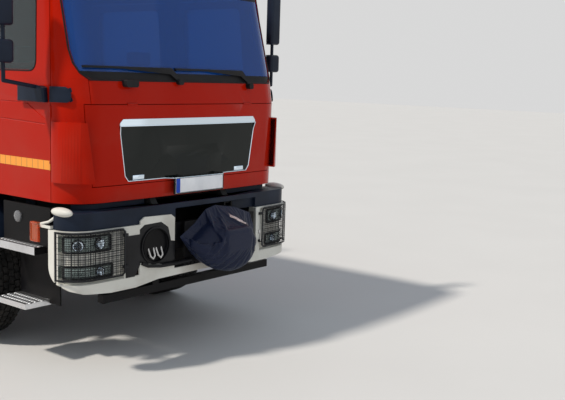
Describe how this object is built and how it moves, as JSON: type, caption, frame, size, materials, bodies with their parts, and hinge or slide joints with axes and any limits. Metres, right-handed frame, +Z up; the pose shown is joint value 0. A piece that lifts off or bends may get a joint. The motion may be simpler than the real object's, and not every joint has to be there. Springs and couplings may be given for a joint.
{
  "type": "fire engine",
  "caption": "Two-axle crew-cab fire engine with opening doors, tilting cab, steering, rolling wheels, telescopic light mast and roof water monitor.",
  "frame": {"origin": "on the ground, under the middle of the overall length and width", "axes": "+Z up, +Y towards the rear, +X towards the vehicle's left"},
  "size_m": [2.932, 8.2748, 3.2263],
  "materials": {
    "frame_black": "satin black chassis paint",
    "bumper_white": "gloss cream-white paint",
    "dark_plastic": "moulded dark plastic",
    "lamp_black": "black lamp housing",
    "guard_steel": "dark coated wire",
    "tarpaulin": "coated tarpaulin",
    "step_black": "black paint with aluminium treads",
    "engine_iron": "cast iron",
    "tank_steel": "plain metal",
    "axle_black": "black paint",
    "red_paint": "gloss fire red",
    "shutter_aluminium": "anodised slats",
    "tube_aluminium": "drawn tube",
    "lamp_red": "red lenses",
    "floor_rubber": "rubber floor mat",
    "glazing": "tinted safety glass",
    "beacon_blue": "blue lenses",
    "seat_fabric": "woven seat cloth",
    "grille_black": "gloss black",
    "chrome_strip": "bright trim",
    "monitor_alloy": "red painted alloy",
    "wheel_steel": "silver painted steel",
    "tyre_rubber": "rubber"
  },
  "bodies": {
    "chassis": {"frame_rails": "frame_black", "front_bumper": "bumper_white", "bumper_step": "dark_plastic", "headlamps": "lamp_black", "lamp_guards": "guard_steel", "winch": "frame_black", "winch_cover": "tarpaulin", "tow_hitch": "frame_black", "entry_steps": "step_black", "mudguards": "dark_plastic", "engine": "engine_iron", "fuel_tank": "tank_steel", "exhaust": "tank_steel", "front_axle": "axle_black", "rear_axle": "axle_black", "propshafts": "axle_black", "body_shell": "red_paint", "shutters": "shutter_aluminium", "roof_rails": "tube_aluminium", "roof_ladder": "tube_aluminium", "rear_ladder": "tube_aluminium", "rear_lamps": "lamp_red"},
    "cab": {"cab_floor": "floor_rubber", "cab_roof": "red_paint", "cab_side_frames": "red_paint", "cab_front": "red_paint", "cab_rear_wall": "red_paint", "windscreen": "glazing", "light_bar": "beacon_blue", "wipers": "dark_plastic", "seats": "seat_fabric", "dashboard": "dark_plastic"},
    "flap": {"front_flap": "red_paint", "grille": "grille_black", "grille_strip": "chrome_strip"},
    "door_fl": {"door_front_left": "red_paint", "glass_front_left": "glazing", "mirror_left": "dark_plastic"},
    "door_fr": {"door_front_right": "red_paint", "glass_front_right": "glazing", "mirror_right": "dark_plastic"},
    "door_cl": {"door_crew_left": "red_paint", "glass_crew_left": "glazing"},
    "door_cr": {"door_crew_right": "red_paint", "glass_crew_right": "glazing"},
    "knuckle_l": {"knuckle_left": "axle_black"},
    "knuckle_r": {"knuckle_right": "axle_black"},
    "wheel_fl": {"rim_front_left": "wheel_steel", "tyre_front_left": "tyre_rubber"},
    "wheel_fr": {"rim_front_right": "wheel_steel", "tyre_front_right": "tyre_rubber"},
    "wheel_rl": {"rim_rear_left": "wheel_steel", "tyre_rear_left": "tyre_rubber"},
    "wheel_rr": {"rim_rear_right": "wheel_steel", "tyre_rear_right": "tyre_rubber"},
    "mast_one": {"mast_stage_one": "tube_aluminium"},
    "mast_two": {"mast_stage_two": "tube_aluminium"},
    "mast_lamps": {"mast_head": "lamp_black"},
    "monitor_base": {"monitor_swivel": "monitor_alloy"},
    "monitor_gun": {"monitor_barrel": "monitor_alloy"}
  },
  "joints": [
    {"name": "cab_tilt", "type": "hinge", "parent": "chassis", "child": "cab", "pos_m": [0, -3.7875, 1.125], "axis": [1, 0, 0], "range_deg": [0, 45]},
    {"name": "flap_lift", "type": "hinge", "parent": "cab", "child": "flap", "pos_m": [0, -3.8035, 1.8905], "axis": [-1, 0, 0], "range_deg": [0, 85]},
    {"name": "door_fl_swing", "type": "hinge", "parent": "cab", "child": "door_fl", "pos_m": [1.121, -3.5375, 1.64], "axis": [0, 0, -1], "range_deg": [0, 72]},
    {"name": "door_fr_swing", "type": "hinge", "parent": "cab", "child": "door_fr", "pos_m": [-1.121, -3.5375, 1.64], "axis": [0, 0, 1], "range_deg": [0, 72]},
    {"name": "door_cl_swing", "type": "hinge", "parent": "cab", "child": "door_cl", "pos_m": [1.121, -2.4125, 1.64], "axis": [0, 0, -1], "range_deg": [0, 72]},
    {"name": "door_cr_swing", "type": "hinge", "parent": "cab", "child": "door_cr", "pos_m": [-1.121, -2.4125, 1.64], "axis": [0, 0, 1], "range_deg": [0, 72]},
    {"name": "steer_left", "type": "hinge", "parent": "chassis", "child": "knuckle_l", "pos_m": [0.84, -2.3575, 0.522], "axis": [0, 0, 1], "range_deg": [-35, 35]},
    {"name": "steer_right", "type": "hinge", "parent": "chassis", "child": "knuckle_r", "pos_m": [-0.84, -2.3575, 0.522], "axis": [0, 0, 1], "range_deg": [-35, 35]},
    {"name": "wheel_fl_spin", "type": "hinge", "parent": "knuckle_l", "child": "wheel_fl", "pos_m": [0.99, -2.3575, 0.522], "axis": [1, 0, 0], "continuous": true},
    {"name": "wheel_fr_spin", "type": "hinge", "parent": "knuckle_r", "child": "wheel_fr", "pos_m": [-0.99, -2.3575, 0.522], "axis": [1, 0, 0], "continuous": true},
    {"name": "wheel_rl_spin", "type": "hinge", "parent": "chassis", "child": "wheel_rl", "pos_m": [0.9, 1.8425, 0.522], "axis": [1, 0, 0], "continuous": true},
    {"name": "wheel_rr_spin", "type": "hinge", "parent": "chassis", "child": "wheel_rr", "pos_m": [-0.9, 1.8425, 0.522], "axis": [1, 0, 0], "continuous": true},
    {"name": "mast_lift_one", "type": "slide", "parent": "chassis", "child": "mast_one", "axis": [0, 0, 1], "range_m": [0, 1.45]},
    {"name": "mast_lift_two", "type": "slide", "parent": "mast_one", "child": "mast_two", "axis": [0, 0, 1], "range_m": [0, 1.45]},
    {"name": "mast_pan", "type": "hinge", "parent": "mast_two", "child": "mast_lamps", "pos_m": [0.96, -0.7425, 3.1], "axis": [0, 0, 1], "range_deg": [-170, 170]},
    {"name": "monitor_turn", "type": "hinge", "parent": "chassis", "child": "monitor_base", "pos_m": [0, -0.0425, 3.0603], "axis": [0, 0, 1], "range_deg": [-170, 170]},
    {"name": "monitor_raise", "type": "hinge", "parent": "monitor_base", "child": "monitor_gun", "pos_m": [0, -0.0425, 3.1803], "axis": [-1, 0, 0], "range_deg": [0, 75]}
  ],
  "couplings": [
    {"joint": "steer_right", "follows": "steer_left", "ratio": 1},
    {"joint": "mast_lift_two", "follows": "mast_lift_one", "ratio": 1}
  ]
}
